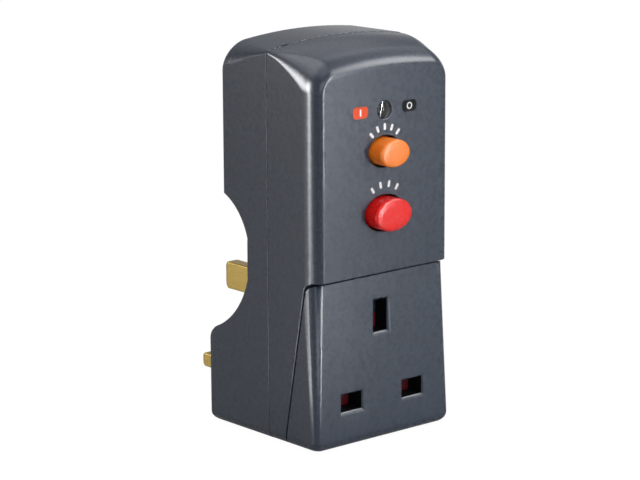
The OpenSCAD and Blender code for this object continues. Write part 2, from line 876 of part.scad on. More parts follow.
// Frame that guides the buttons' stems and carries the trip mechanism
module mechanism_frame() {
    plate_half_w = 15.9;
    color([0.86, 0.85, 0.8]) from_front() difference() {
        union() {
            block([-plate_half_w, plate_half_w], [plate_front, plate_back], [53, 100]);
            for (side = [-1, 1]) mirror([side > 0 ? 0 : 1, 0, 0])
                block(rail_x, [plate_back - eps, 28], [76, 85]);
            block([-4.5, 4.5], [plate_back - eps, coil_y - 6], [coil_z - 3, coil_z + 3]);
            block([-1.5, 1.5], [plate_back - eps, 14.5 + test_travel + slide_gap], [55, 57.5]);
            rod(pivot_r, plate_back - eps, lever_y + lever_t + slide_gap, pivot);
            for (side = [-1, 1]) mirror([side > 0 ? 0 : 1, 0, 0])
                block([1.5, 4], [plate_back - eps, flag_pivot_d + 2.5], [window_z - 2, window_z + 2]);
            translate([0, flag_pivot_d, window_z]) rotate([0, 90, 0]) cylinder(r = 1, h = 6, center = true);
        }
        rod(2.4 + slide_gap, 0, plate_back + 1, [0, reset_z]);
        rod(2 + slide_gap, 0, plate_back + 1, [0, test_z]);
        block([-3.2, 3.2], [plate_front - 1, plate_back + 1], [84.6, 99]);
        for (side = [-1, 1], z = frame_post[1]) rod(1.2, 0, plate_back + 1, [side * frame_post[0], z]);
    }
}

module frame_screws() {
    color(steel) from_front() for (side = [-1, 1], z = frame_post[1])
        screw(1.9, 0.95, plate_back, 6, 1.2, [side * frame_post[0], z]);
}

// Carriage that closes the contacts when it is drawn to the front
module contact_carriage() {
    prong = [22.9, 26.7];
    color([0.55, 0.57, 0.6]) from_front() difference() {
        union() {
            block([-5.2, 5.2], [carriage_d, 26], [75.6, 85.2]);
            block([slide_gap - rail_x[0], rail_x[0] - slide_gap], [carriage_d, 25], [78, 83]);
            for (d = [[prong[0] - 1.5, prong[0]], [prong[1], prong[1] + 1.5]])
                block([-1.2, 1.2], d, [83, 87.4]);
            block([-1.2, 1.2], [prong[0] - 1.5, prong[1] + 1.5], [83, 85.2]);
        }
        rod(2.9, 0, far, [0, reset_z]);
    }
}

module bridge_contacts() {
    face = plate_back + strip_t + tip_h + carriage_travel + 0.05;
    color(brass) from_front() for (side = [-1, 1]) mirror([side > 0 ? 0 : 1, 0, 0]) {
        block([5.4, 12.2], [carriage_d - strip_t, carriage_d], [reset_z - 1.2, reset_z + 1.2]);
        for (x = [mean(input_x), mean(output_x)]) rod(tip_r, face, carriage_d - strip_t + eps, [x, reset_z]);
    }
}

module opening_spring() {
    color(steel) from_front() translate([0, plate_back, reset_z]) rotate([-90, 0, 0])
        coil_spring(3.6, 0.25, carriage_d - plate_back, 4);
}

// Trip coil, its plunger and the latch that it pulls
module along_x(r, x) {
    translate([x[0], coil_y, coil_z]) rotate([0, 90, 0]) cylinder(r = r, h = x[1] - x[0]);
}

module coil_frame() {
    color(steel) from_front() difference() {
        union() {
            block(coil_x, [coil_y - 6, coil_y - 6 + cheek_t], [coil_z - 4, coil_z + 4]);
            block([coil_x[0], coil_x[0] + cheek_t], [coil_y - 6, coil_y + 4], [coil_z - 4, coil_z + 4]);
            block([coil_x[1] - cheek_t, coil_x[1]], [coil_y - 6, coil_y + 4], [coil_z - 4, coil_z + 4]);
        }
        along_x(plunger_r + slide_gap, [0, 20]);
    }
}

module coil_bobbin() {
    inner = [coil_x[0] + cheek_t, coil_x[1] - cheek_t];
    color([0.9, 0.9, 0.86]) from_front() difference() {
        union() {
            along_x(2.6, inner);
            along_x(coil_r, [inner[0], inner[0] + 1]);
            along_x(coil_r, [inner[1] - 1, inner[1]]);
        }
        along_x(plunger_r + slide_gap, [inner[0] + 1, inner[1] + 1]);
    }
}

module coil_winding() {
    wound = [coil_x[0] + cheek_t + 1, coil_x[1] - cheek_t - 1];
    color([0.72, 0.36, 0.16]) from_front() difference() {
        along_x(coil_r - 0.3, wound);
        along_x(2.6, wound + [-1, 1]);
    }
}

module trip_plunger() {
    color(steel) from_front() {
        along_x(plunger_r, [coil_x[0] + cheek_t + 1 + plunger_travel + slide_gap, pivot[0] + groove_half + 1]);
        along_x(collar_r, [pivot[0] - groove_half - 0.6, pivot[0] - groove_half]);
        along_x(collar_r, [pivot[0] + groove_half, pivot[0] + groove_half + 1]);
    }
}

module latch_lever() {
    arm = coil_z - pivot[1];
    half_arm = 0.6;
    color([0.75, 0.75, 0.72]) from_front() through(lever_y, lever_y + lever_t) translate(pivot) difference() {
        union() {
            circle(1.9);
            translate([-half_arm, arm]) square([2 * half_arm, -arm]);
            translate([0, arm]) circle(1);
            translate([-half_arm, 0]) square([2 * half_arm, 2.2]);
        }
        circle(pivot_r + 0.05);
    }
}

// Circuit board and what is on it
module circuit_board() {
    color([0.1, 0.35, 0.2]) from_front() through(board_front, board_back) difference() {
        translate([-board_half_w, 66.5]) square([2 * board_half_w, 37]);
        for (at = board_posts) translate(at) circle(1.2);
    }
}

module board_screws() {
    color(steel) from_front() for (at = board_posts) {
        rod(0.95, board_front - eps, board_back + 2.5, at);
        rod(1.9, board_front - 1.2, board_front, at);
    }
}

module capacitor() {
    color([0.15, 0.17, 0.3]) from_front() rod(3.6, board_front - 10, board_front, [-4.6, 98.8]);
}

module varistor() {
    color([0.2, 0.35, 0.65]) from_front() rod(3.4, board_front - 3.6, board_front, [5, 98.5]);
}

module resistors() {
    color([0.8, 0.7, 0.5]) from_front() for (k = [0:2])
        translate([-7, board_front - 1.2, 75 + 3.4 * k]) rotate([0, 90, 0]) cylinder(r = 1.2, h = 6, center = true);
}

front_housing();
rear_housing();
socket_cover();
case_screws();
reset_button();
reset_spring();
test_button();
test_spring();
test_contact();
indicator_lens();
indicator_flag();
line_pin();
neutral_pin();
earth_pin();
pin_sleeves();
pin_plate();
line_contact();
neutral_contact();
earth_contact();
contact_block();
block_screws();
shutter();
shutter_spring();
earth_strap();
line_busbar();
neutral_busbar();
line_lead();
neutral_lead();
toroid_core();
toroid_winding();
mechanism_frame();
frame_screws();
contact_carriage();
bridge_contacts();
opening_spring();
coil_frame();
coil_bobbin();
coil_winding();
trip_plunger();
latch_lever();
circuit_board();
board_screws();
capacitor();
varistor();
resistors();
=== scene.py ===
"""Dressing of the mains adapter: casing shells, buttons, window, pins, springs, printed marks and studio."""
import json
import math

import bpy
import bmesh
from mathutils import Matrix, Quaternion, Vector


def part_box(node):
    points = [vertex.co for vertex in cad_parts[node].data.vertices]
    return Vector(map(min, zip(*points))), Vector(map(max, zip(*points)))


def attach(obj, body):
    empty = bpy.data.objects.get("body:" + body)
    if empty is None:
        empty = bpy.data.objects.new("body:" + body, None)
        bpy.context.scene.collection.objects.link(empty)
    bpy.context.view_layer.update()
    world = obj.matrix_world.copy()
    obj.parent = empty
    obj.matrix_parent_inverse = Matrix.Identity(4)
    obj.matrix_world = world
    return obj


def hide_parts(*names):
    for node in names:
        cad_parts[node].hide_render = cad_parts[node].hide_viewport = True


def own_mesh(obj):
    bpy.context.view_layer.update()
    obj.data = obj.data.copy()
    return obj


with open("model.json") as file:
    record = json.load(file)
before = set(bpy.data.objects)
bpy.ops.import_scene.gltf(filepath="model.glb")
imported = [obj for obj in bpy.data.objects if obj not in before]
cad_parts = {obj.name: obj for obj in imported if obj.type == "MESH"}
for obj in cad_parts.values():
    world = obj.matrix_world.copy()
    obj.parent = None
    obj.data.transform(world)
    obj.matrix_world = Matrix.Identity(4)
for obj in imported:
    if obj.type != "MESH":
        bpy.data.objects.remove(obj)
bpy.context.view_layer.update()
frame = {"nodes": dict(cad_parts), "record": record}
nodes = frame["nodes"]

MM = 0.001
FRONT = -22.8
BODY_HEIGHT = 110.0
SEAM_DEPTH = 20.0
HALF_WIDTH = 24.5
STEP_HEIGHT = 47.0
COVER_LEAN = 1.6 / 47.0
PLUG_DEPTH = 45.6
BACK_DEPTH = 39.0
PLUG_BLOCK_HALF = 11.0
WINDOW_HEIGHT = 91.7
RESET_HEIGHT = 80.4
RESET_SIZE = (10.4, 7.6)
TEST_HEIGHT = 63.5
TEST_SIZE = (13.0, 9.0)
LIVE_HEIGHT = 12.4
LIVE_OFFSET = 11.1
EARTH_HEIGHT = 34.6
LIP_HEIGHT = 24.4
SCOOP_TOP = 66.0
SCOOP_MIDDLE = (52.1, 50.0)
SCOOP_RADIUS = 24.0
LIP_JOIN = 42.58
QUARTER = math.radians(90)
FACING = 0.9
CLOSE = 0.05
NEAR = 0.1
WHITE = (1, 1, 1, 1)
BLACK = (0, 0, 0, 1)


# Places are written as the maker's drawing has them: x, depth behind the front face and height, in mm
def place(x, depth, z):
    return (x * MM, (FRONT + depth) * MM, z * MM)


def drawn(point):
    return (point.x / MM, point.y / MM - FRONT, point.z / MM)


# Modelling helpers
def activate(obj):
    bpy.ops.object.select_all(action="DESELECT")
    obj.select_set(True)
    bpy.context.view_layer.objects.active = obj


def edit(obj, kind="FACE"):
    activate(obj)
    bpy.ops.object.mode_set(mode="EDIT")
    bpy.ops.mesh.select_mode(type=kind)


def leave_edit():
    bpy.ops.object.mode_set(mode="OBJECT")


def settle(obj):
    activate(obj)
    bpy.ops.object.transform_apply(location=True, rotation=True, scale=True)


def select_faces(obj, test):
    """Selects in edit mode the faces whose middle (drawn) and normal pass a test."""
    mesh = bmesh.from_edit_mesh(obj.data)
    for face in mesh.faces:
        face.select_set(False)
    for face in mesh.faces:
        if test(drawn(face.calc_center_median()), face.normal):
            face.select_set(True)
    mesh.select_flush_mode()
    bmesh.update_edit_mesh(obj.data)


def select_edges(obj, test):
    """Selects in edit mode the edges whose middle (drawn) and direction pass a test."""
    mesh = bmesh.from_edit_mesh(obj.data)
    for edge in mesh.edges:
        edge.select_set(False)
    for edge in mesh.edges:
        start, end = edge.verts
        if test(drawn((start.co + end.co) / 2), (end.co - start.co).normalized()):
            edge.select_set(True)
    mesh.select_flush_mode()
    bmesh.update_edit_mesh(obj.data)


def apply_modifier(obj, kind, **settings):
    activate(obj)
    modifier = obj.modifiers.new(kind.lower(), kind)
    for key, value in settings.items():
        setattr(modifier, key, value)
    bpy.ops.object.modifier_apply(modifier=modifier.name)


def smooth(obj, angle=34):
    activate(obj)
    bpy.ops.object.shade_smooth_by_angle(angle=math.radians(angle))


def add_block(name, x, depth, z):
    """A cuboid between two values along each drawn direction."""
    low = place(x[0], depth[0], z[0])
    high = place(x[1], depth[1], z[1])
    bpy.ops.object.select_all(action="DESELECT")
    bpy.ops.mesh.primitive_cube_add(size=1, location=[(a + b) / 2 for a, b in zip(low, high)])
    block = bpy.context.object
    block.name = name
    block.scale = [b - a for a, b in zip(low, high)]
    settle(block)
    return block


def merge_faces(obj, threshold):
    """Joins points that are closer than a threshold, and makes flat faces whole."""
    edit(obj, "VERT")
    bpy.ops.mesh.select_all(action="SELECT")
    bpy.ops.mesh.remove_doubles(threshold=threshold * MM)
    bpy.ops.mesh.dissolve_limited(angle_limit=math.radians(0.4))
    leave_edit()


def copy_node(node, name):
    """A merged copy of a CAD node."""
    piece = bpy.data.objects.new(name, nodes[node].data.copy())
    bpy.context.scene.collection.objects.link(piece)
    merge_faces(piece, threshold=0.002)
    return piece


def round_edges(obj, rounding, most, segments):
    """Rounds each edge by what a function of its drawn middle, direction and fold gives, up to the most."""
    mesh = bmesh.new()
    mesh.from_mesh(obj.data)
    layers = mesh.edges.layers.float
    weight = layers.get("bevel_weight_edge") or layers.new("bevel_weight_edge")
    for edge in mesh.edges:
        start, end = edge.verts
        middle = drawn((start.co + end.co) / 2)
        run = (end.co - start.co).normalized()
        edge[weight] = rounding(middle, run, math.degrees(edge.calc_face_angle(0.0))) / most
    mesh.to_mesh(obj.data)
    mesh.free()
    apply_modifier(obj, "BEVEL", width=most * MM, segments=segments, limit_method="WEIGHT",
                   use_clamp_overlap=False)


def soften(obj, width, test, segments=3, sharp=35):
    """Rounds the sharp edges whose drawn middle passes a test."""
    round_edges(obj, lambda at, run, fold: width if fold > sharp and test(at) else 0.0, width, segments)
    smooth(obj)
    apply_modifier(obj, "WEIGHTED_NORMAL", mode="FACE_AREA_WITH_ANGLE", weight=80, keep_sharp=True)


# Node groups that several finishes share
SKIN_OUTPUTS = [("Color", "NodeSocketColor"), ("Roughness", "NodeSocketFloat"), ("Height", "NodeSocketFloat")]


def new_group(name, inputs, outputs):
    group = bpy.data.node_groups.new(name, "ShaderNodeTree")
    for title, kind, value in inputs:
        socket = group.interface.new_socket(title, in_out="INPUT", socket_type=kind)
        socket.default_value = value
    for title, kind in outputs:
        group.interface.new_socket(title, in_out="OUTPUT", socket_type=kind)
    return group, group.nodes.new("NodeGroupInput"), group.nodes.new("NodeGroupOutput")


def noise(tree, coords, scale, detail, roughness=0.5):
    texture = tree.nodes.new("ShaderNodeTexNoise")
    texture.inputs["Detail"].default_value = detail
    texture.inputs["Roughness"].default_value = roughness
    tree.links.new(coords, texture.inputs["Vector"])
    if isinstance(scale, (int, float)):
        texture.inputs["Scale"].default_value = scale
    else:
        tree.links.new(scale, texture.inputs["Scale"])
    return texture.outputs["Fac"]


def spread(tree, value, low, high, from_low=0.3, from_high=0.7):
    node = tree.nodes.new("ShaderNodeMapRange")
    node.inputs["From Min"].default_value = from_low
    node.inputs["From Max"].default_value = from_high
    for socket, end in (("To Min", low), ("To Max", high)):
        if isinstance(end, (int, float)):
            node.inputs[socket].default_value = end
        else:
            tree.links.new(end, node.inputs[socket])
    tree.links.new(value, node.inputs["Value"])
    return node.outputs["Result"]


def mix_colour(tree, factor, first, second, blend="MIX"):
    node = tree.nodes.new("ShaderNodeMix")
    node.data_type = "RGBA"
    node.blend_type = blend
    for socket, value in ((node.inputs[0], factor), (node.inputs[6], first), (node.inputs[7], second)):
        if hasattr(value, "links"):
            tree.links.new(value, socket)
        else:
            socket.default_value = value
    return node.outputs[2]


def object_coords(tree, scale=(1, 1, 1), turn=(0, 0, 0), location=(0, 0, 0)):
    coords = tree.nodes.new("ShaderNodeTexCoord")
    mapping = tree.nodes.new("ShaderNodeMapping")
    mapping.inputs["Scale"].default_value = scale
    mapping.inputs["Rotation"].default_value = turn
    mapping.inputs["Location"].default_value = location
    tree.links.new(coords.outputs["Object"], mapping.inputs["Vector"])
    return mapping.outputs["Vector"]


def make_moulded_skin():
    """Spark-eroded mould texture: fine grain, faint flow clouds and rubbed patches."""
    group, start, end = new_group(
        "moulded_skin",
        [("Color", "NodeSocketColor", (0.5, 0.5, 0.5, 1)), ("Grain", "NodeSocketFloat", 2600.0),
         ("Clouding", "NodeSocketFloat", 0.1), ("Smooth", "NodeSocketFloat", 0.35),
         ("Rough", "NodeSocketFloat", 0.5)],
        SKIN_OUTPUTS)
    coords = object_coords(group)
    grain = noise(group, coords, start.outputs["Grain"], detail=2.0)
    clouds = noise(group, coords, scale=55.0, detail=4.0, roughness=0.6)
    rubs = noise(group, coords, scale=600.0, detail=4.0, roughness=0.6)
    shade = mix_colour(group, spread(group, clouds, 0.0, start.outputs["Clouding"]), start.outputs["Color"],
                       WHITE, "SOFT_LIGHT")
    fleck = mix_colour(group, spread(group, grain, 0.0, 0.06), shade, BLACK)
    gloss = spread(group, rubs, start.outputs["Smooth"], start.outputs["Rough"])
    group.links.new(fleck, end.inputs["Color"])
    group.links.new(gloss, end.inputs["Roughness"])
    group.links.new(grain, end.inputs["Height"])
    return group


def make_drawn_metal():
    """Drawn and tumbled metal: lines along Y, tarnish clouds and small nicks."""
    group, start, end = new_group(
        "drawn_metal",
        [("Color", "NodeSocketColor", (0.7, 0.6, 0.3, 1)),
         ("Tarnish", "NodeSocketColor", (0.4, 0.3, 0.15, 1)),
         ("Smooth", "NodeSocketFloat", 0.18), ("Rough", "NodeSocketFloat", 0.4)],
        SKIN_OUTPUTS)
    lines = noise(group, object_coords(group, (6000, 160, 6000)), scale=1.0, detail=3.0)
    clouds = noise(group, object_coords(group), scale=260.0, detail=5.0, roughness=0.65)
    tint = mix_colour(group, spread(group, clouds, 0.0, 0.55, 0.45, 0.8), start.outputs["Color"],
                      start.outputs["Tarnish"])
    both = mix_colour(group, 0.5, lines, clouds)
    gloss = spread(group, both, start.outputs["Smooth"], start.outputs["Rough"])
    group.links.new(tint, end.inputs["Color"])
    group.links.new(gloss, end.inputs["Roughness"])
    group.links.new(lines, end.inputs["Height"])
    return group


moulded_skin = make_moulded_skin()
drawn_metal = make_drawn_metal()


# Finishes
def new_finish(name):
    material = bpy.data.materials.new(name)
    material.use_nodes = True
    return material, material.node_tree, material.node_tree.nodes["Principled BSDF"]


def bump(tree, shader, height, distance, strength):
    node = tree.nodes.new("ShaderNodeBump")
    node.inputs["Strength"].default_value = strength
    node.inputs["Distance"].default_value = distance * MM
    tree.links.new(height, node.inputs["Height"])
    tree.links.new(node.outputs["Normal"], shader.inputs["Normal"])


def grouped(tree, group, **values):
    node = tree.nodes.new("ShaderNodeGroup")
    node.node_tree = group
    for title, value in values.items():
        node.inputs[title].default_value = value
    return node


def join_skin(tree, shader, skin, depth, strength=0.6):
    """Leads a skin group's colour, roughness and height into the shader."""
    tree.links.new(skin.outputs["Color"], shader.inputs["Base Color"])
    tree.links.new(skin.outputs["Roughness"], shader.inputs["Roughness"])
    bump(tree, shader, skin.outputs["Height"], depth, strength)


def moulded(name, colour, smooth_to, rough_to, grain=2600.0, clouding=0.1, depth=0.02, level=0.5, glow=0.0):
    """A moulding; glow is how much light spreads inside it, as in a bright unfilled plastic."""
    material, tree, shader = new_finish(name)
    skin = grouped(tree, moulded_skin, Color=(*colour, 1), Grain=grain, Clouding=clouding, Smooth=smooth_to,
                   Rough=rough_to)
    join_skin(tree, shader, skin, depth)
    shader.inputs["Specular IOR Level"].default_value = level
    shader.inputs["Subsurface Weight"].default_value = glow
    shader.inputs["Subsurface Radius"].default_value = (1.0, 0.4, 0.2)
    shader.inputs["Subsurface Scale"].default_value = 2.5 * MM
    return material


def metal(name, colour, tarnish, smooth_to, rough_to, depth=0.01):
    material, tree, shader = new_finish(name)
    drawn_skin = grouped(tree, drawn_metal, Color=(*colour, 1), Tarnish=(*tarnish, 1), Smooth=smooth_to,
                         Rough=rough_to)
    join_skin(tree, shader, drawn_skin, depth, strength=0.4)
    shader.inputs["Metallic"].default_value = 1.0
    return material


def clear_finish(name):
    material, tree, shader = new_finish(name)
    haze = noise(tree, object_coords(tree), scale=900.0, detail=3.0)
    tree.links.new(spread(tree, haze, 0.02, 0.07), shader.inputs["Roughness"])
    shader.inputs["Base Color"].default_value = (0.45, 0.46, 0.48, 1)
    shader.inputs["Transmission Weight"].default_value = 1.0
    shader.inputs["IOR"].default_value = 1.49
    return material


def flag_finish(name):
    """Black above and orange below, where the window looks when the contacts are closed."""
    border = 89.0 * MM
    blur = 0.1 * MM
    material, tree, shader = new_finish(name)
    split = tree.nodes.new("ShaderNodeSeparateXYZ")
    tree.links.new(object_coords(tree, location=(0, 0, -border)), split.inputs["Vector"])
    lower = spread(tree, split.outputs["Z"], 1.0, 0.0, -blur, blur)
    colour = mix_colour(tree, lower, (0.012, 0.012, 0.014, 1), (0.9, 0.2, 0.02, 1))
    skin = grouped(tree, moulded_skin, Grain=2600.0, Clouding=0.05, Smooth=0.4, Rough=0.55)
    tree.links.new(colour, skin.inputs["Color"])
    join_skin(tree, shader, skin, depth=0.02)
    return material


def wound_finish(name, colour, across):
    """Enamelled wire laid side by side, across one axis, with painted shade in the grooves between turns."""
    material, tree, shader = new_finish(name)
    wave = tree.nodes.new("ShaderNodeTexWave")
    wave.bands_direction = across
    wave.inputs["Scale"].default_value = 900.0
    wave.inputs["Distortion"].default_value = 0.6
    tree.links.new(object_coords(tree), wave.inputs["Vector"])
    # The colour falls to about a third in the grooves between turns: painted shade.
    groove_shaded_wire = mix_colour(tree, wave.outputs["Fac"], tuple(0.35 * c for c in colour) + (1,), (*colour, 1))
    tree.links.new(groove_shaded_wire, shader.inputs["Base Color"])
    tree.links.new(spread(tree, wave.outputs["Fac"], 0.45, 0.25, 0.0, 1.0), shader.inputs["Roughness"])
    shader.inputs["Metallic"].default_value = 0.7
    bump(tree, shader, wave.outputs["Fac"], distance=0.1, strength=0.6)
    return material


def board_finish(name):
    """Green laminate with copper tracks under its mask."""
    material, tree, shader = new_finish(name)
    brick = tree.nodes.new("ShaderNodeTexBrick")
    brick.inputs["Scale"].default_value = 330.0
    brick.inputs["Mortar Size"].default_value = 0.06
    brick.inputs["Color1"].default_value = (0.012, 0.11, 0.045, 1)
    brick.inputs["Color2"].default_value = (0.014, 0.13, 0.055, 1)
    brick.inputs["Mortar"].default_value = (0.05, 0.26, 0.09, 1)
    tree.links.new(object_coords(tree, turn=(QUARTER, 0, 0)), brick.inputs["Vector"])
    tree.links.new(brick.outputs["Color"], shader.inputs["Base Color"])
    weave = noise(tree, object_coords(tree), scale=1500.0, detail=2.0)
    tree.links.new(spread(tree, weave, 0.25, 0.4), shader.inputs["Roughness"])
    bump(tree, shader, brick.outputs["Fac"], distance=0.05, strength=0.6)
    return material


PRINT_SKIN = {"grain": 3200.0, "clouding": 0.05, "depth": 0.01}
finishes = {
    "casing_plastic": moulded("anthracite_moulding", (0.027, 0.037, 0.057), 0.265, 0.285, grain=2400.0,
                              clouding=0.05, depth=0.006, level=0.32),
    "orange_plastic": moulded("orange_button", (0.95, 0.225, 0.014), 0.28, 0.4, grain=1500.0,
                              clouding=0.08, depth=0.008, level=0.3, glow=0.6),
    "red_plastic": moulded("red_button", (0.78, 0.012, 0.009), 0.22, 0.32, grain=1500.0,
                           clouding=0.06, depth=0.008, level=0.25, glow=0.5),
    # The shutter's own red, darkened beyond it as painted shade for the shadow it sits in behind the slots.
    "shutter_plastic": moulded("red_shutter", (0.11, 0.003, 0.008), 0.4, 0.55),
    "sleeve_plastic": moulded("black_sleeve", (0.012, 0.012, 0.013), 0.35, 0.5),
    "inner_plastic": moulded("cream_moulding", (0.66, 0.62, 0.52), 0.4, 0.55),
    "carriage_plastic": moulded("grey_moulding", (0.22, 0.235, 0.26), 0.4, 0.55),
    "component_blue": moulded("dipped_blue", (0.02, 0.05, 0.2), 0.15, 0.3, grain=700.0),
    "component_tan": moulded("dipped_tan", (0.55, 0.38, 0.18), 0.2, 0.35, grain=700.0),
    "pin_brass": metal("pin_brass", (0.44, 0.31, 0.09), (0.26, 0.17, 0.05), 0.24, 0.34, depth=0.002),
    "strip_brass": metal("strip_brass", (0.74, 0.54, 0.24), (0.45, 0.31, 0.12), 0.2, 0.4),
    "screw_steel": metal("plated_screw", (0.56, 0.57, 0.6), (0.3, 0.3, 0.32), 0.2, 0.4),
    "spring_steel": metal("spring_wire", (0.6, 0.61, 0.63), (0.36, 0.36, 0.38), 0.15, 0.3),
    "soft_iron": metal("plated_iron", (0.5, 0.51, 0.53), (0.28, 0.27, 0.26), 0.25, 0.45),
    "core_iron": metal("wound_core", (0.2, 0.2, 0.22), (0.1, 0.09, 0.085), 0.4, 0.6),
    "lens_clear": clear_finish("clear_window"),
    "flag_black": flag_finish("two_colour_flag"),
    "winding_copper": wound_finish("copper_winding", (0.72, 0.3, 0.11), "X"),
    "board_laminate": board_finish("board_laminate"),
}
print_white = moulded("white_print", (0.78, 0.79, 0.8), 0.45, 0.6, **PRINT_SKIN)
print_orange = moulded("orange_print", (0.78, 0.075, 0.016), 0.5, 0.6, **PRINT_SKIN, level=0.1)
# Black print for the OFF pad, also laid on the cover's slot walls as painted shade.
print_and_shade_black = moulded("black_print_and_painted_shade", (0.004, 0.004, 0.005), 0.5, 0.6, **PRINT_SKIN, level=0.05)


def wear(obj, material):
    obj.data.materials.clear()
    obj.data.materials.append(material)


def hand_in(obj, body, slot, *replaced, finish=None):
    """Gives a finished piece its finish and its body, and hides the CAD nodes that it stands for."""
    wear(obj, finish or finishes[slot])
    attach(obj, body)
    if replaced:
        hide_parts(*replaced)


# Casing: each half is drawn out through outlines, one behind the other, then hollowed and cut
CROWN_RADIUS = 150.0
SLOPE_RADIUS = 50.0
WALL = 2.2
ARC_STEPS = 10
CROWN_STEPS = 14
TURN_STEPS = 9
GAP_TOP = 4.6
GAP_BASE = 13.6
GAP_CORNER = 2.43
COVER_GAP = 0.4
STEP_GAP = 0.4
FOOT_TURN = 3.0
FOOT_STEPS = 6
SLOT_CHAMFER = 0.8
SLOTS = (("line_slot", LIVE_OFFSET, LIVE_HEIGHT, 7.4, 5.0),
         ("neutral_slot", -LIVE_OFFSET, LIVE_HEIGHT, 7.4, 5.0),
         ("earth_slot", 0, EARTH_HEIGHT, 5.0, 9.0))
HOLE_GAP = 0.5
SHELL_RIM = 0.25
RIM_REACH = 0.15
PAST_SIDES = (-40, 40)
PAST_FRONT = -20
TURN_SHRINK = 0.7
FOOT_SHRINK = 0.6
SEAM_OVERLAP = 0.5


def crown(x, fall):
    """Height of the top across the casing, at a fall below the crown."""
    return BODY_HEIGHT - CROWN_RADIUS + math.sqrt((CROWN_RADIUS - fall) ** 2 - x ** 2)


def slope(depth):
    """Fall of the top towards the front."""
    return SLOPE_RADIUS - math.sqrt(SLOPE_RADIUS ** 2 - (SEAM_DEPTH - depth) ** 2)


def turn(start, corner, end, share):
    """A point of the round turn from start to end whose tangents meet at the corner."""
    pull = math.sqrt(2) * share * (1 - share)
    parts = ((1 - share) ** 2, pull, share ** 2)
    points = (start, corner, end)
    return [sum(part * point[k] for part, point in zip(parts, points)) / sum(parts) for k in (0, 1)]


def outline(depth, half, base, fall, shoulder, foot_turn=0):
    """Points round the casing at a depth: up the left side, over the shoulder to the middle, and mirrored."""
    foot = [(-half, base)]
    if foot_turn:
        foot = [turn((foot_turn - half, base), (-half, base), (-half, base + foot_turn), step / FOOT_STEPS)
                for step in range(FOOT_STEPS + 1)]
    corner = (-half, crown(half, fall))
    rise = (-half, corner[1] - shoulder)
    inner = half - shoulder
    landing = (-inner, crown(inner, fall))
    left = foot + [turn(rise, corner, landing, step / ARC_STEPS) for step in range(ARC_STEPS + 1)]
    steps = [2 * step / CROWN_STEPS - 1 for step in range(1, CROWN_STEPS)]
    over = [(inner * share, crown(inner * share, fall)) for share in steps]
    right = [(-x, z) for x, z in reversed(left)]
    return [(x, depth, z) for x, z in left + over + right]


def make_loft(name, outlines):
    """A closed solid drawn out through outlines of equally many points."""
    bpy.ops.object.select_all(action="DESELECT")
    bpy.ops.mesh.primitive_circle_add(vertices=len(outlines[0]), fill_type="NGON")
    solid = bpy.context.object
    solid.name = name
    edit(solid)
    mesh = bmesh.from_edit_mesh(solid.data)
    order = mesh.verts.layers.int.new("order")
    for index, vertex in enumerate(mesh.verts):
        vertex[order] = index
    bmesh.update_edit_mesh(solid.data)
    bpy.ops.mesh.select_all(action="SELECT")
    for station, points in enumerate(outlines):
        if station > 0:
            bpy.ops.mesh.extrude_region_move()
        mesh = bmesh.from_edit_mesh(solid.data)
        order = mesh.verts.layers.int["order"]
        for vertex in mesh.verts:
            if vertex.select:
                vertex.co = place(*points[vertex[order]])
        bmesh.update_edit_mesh(solid.data)
    bpy.ops.mesh.select_all(action="SELECT")
    bpy.ops.mesh.normals_make_consistent(inside=False)
    bpy.ops.mesh.dissolve_limited(angle_limit=math.radians(0.1))
    leave_edit()
    return solid


def quarter():
    """Angles of a quarter turn, from the face to the flank."""
    return [math.radians(90 * (1 - step / TURN_STEPS)) for step in range(TURN_STEPS + 1)]


def make_front_solid(name, inset, end):
    """The front: corners and brow turn into the face, and the shoulders grow from the seam to the brow."""
    corner_width = 3.2 - TURN_SHRINK * inset
    corner_depth = 5.2 - TURN_SHRINK * inset
    brow_fall = 3.0 - TURN_SHRINK * inset
    face_shoulder = 2.5
    brow_shoulder = 7.1 - inset
    seam_shoulder = 0.8
    seam_drop = 0.2
    growth = 1.35
    foot_turn = FOOT_TURN - FOOT_SHRINK * inset
    half = HALF_WIDTH - inset
    rows = []
    for angle in quarter():
        depth = inset + corner_depth * (1 - math.sin(angle))
        gone = 1 - math.cos(angle)
        shoulder = face_shoulder + (brow_shoulder - face_shoulder) * math.cos(angle)
        rows.append(outline(depth, half - corner_width * gone, inset, slope(depth) + inset + brow_fall * gone,
                            shoulder, foot_turn))
    turned = inset + corner_depth
    steps = 12
    for step in range(1, steps + 1):
        share = step / steps
        depth = turned + (end - turned) * share
        shoulder = seam_shoulder + (brow_shoulder - seam_shoulder) * (1 - share) ** growth
        rows.append(outline(depth, half, inset, slope(depth) + inset + seam_drop * share,
                            shoulder, foot_turn))
    return make_loft(name, rows)


def make_rear_top(name, spare):
    """The upper rear: the nape turns into the back, and the shoulders grow from the seam to the nape."""
    nape = 4.3
    back_edge = 0.6
    back_shoulder = 4.0
    nape_shoulder = 6.0
    seam_shoulder = 0.9
    half = HALF_WIDTH + spare
    sink = 0.01
    rows = []
    for angle in quarter():
        ahead = nape * (1 - math.sin(angle))
        edge = max(0, 1 - ahead / back_edge)
        narrowed = half - back_edge * (1 - math.sqrt(1 - edge ** 2))
        shoulder = back_shoulder + (nape_shoulder - back_shoulder) * math.cos(angle)
        rows.append(outline(BACK_DEPTH + spare - ahead, narrowed, STEP_HEIGHT,
                            sink + nape * (1 - math.cos(angle)), shoulder))
    turned = BACK_DEPTH + spare - nape
    steps = 8
    for step in range(1, steps + 1):
        share = step / steps
        rows.append(outline(turned + (SEAM_DEPTH - SEAM_OVERLAP - turned) * share, half, STEP_HEIGHT, sink,
                            nape_shoulder + (seam_shoulder - nape_shoulder) * share))
    return make_loft(name, rows)


def cut(obj, *cutters, operation="DIFFERENCE"):
    for cutter in cutters:
        apply_modifier(obj, "BOOLEAN", object=cutter, operation=operation, solver="EXACT")
        bpy.data.objects.remove(cutter, do_unlink=True)


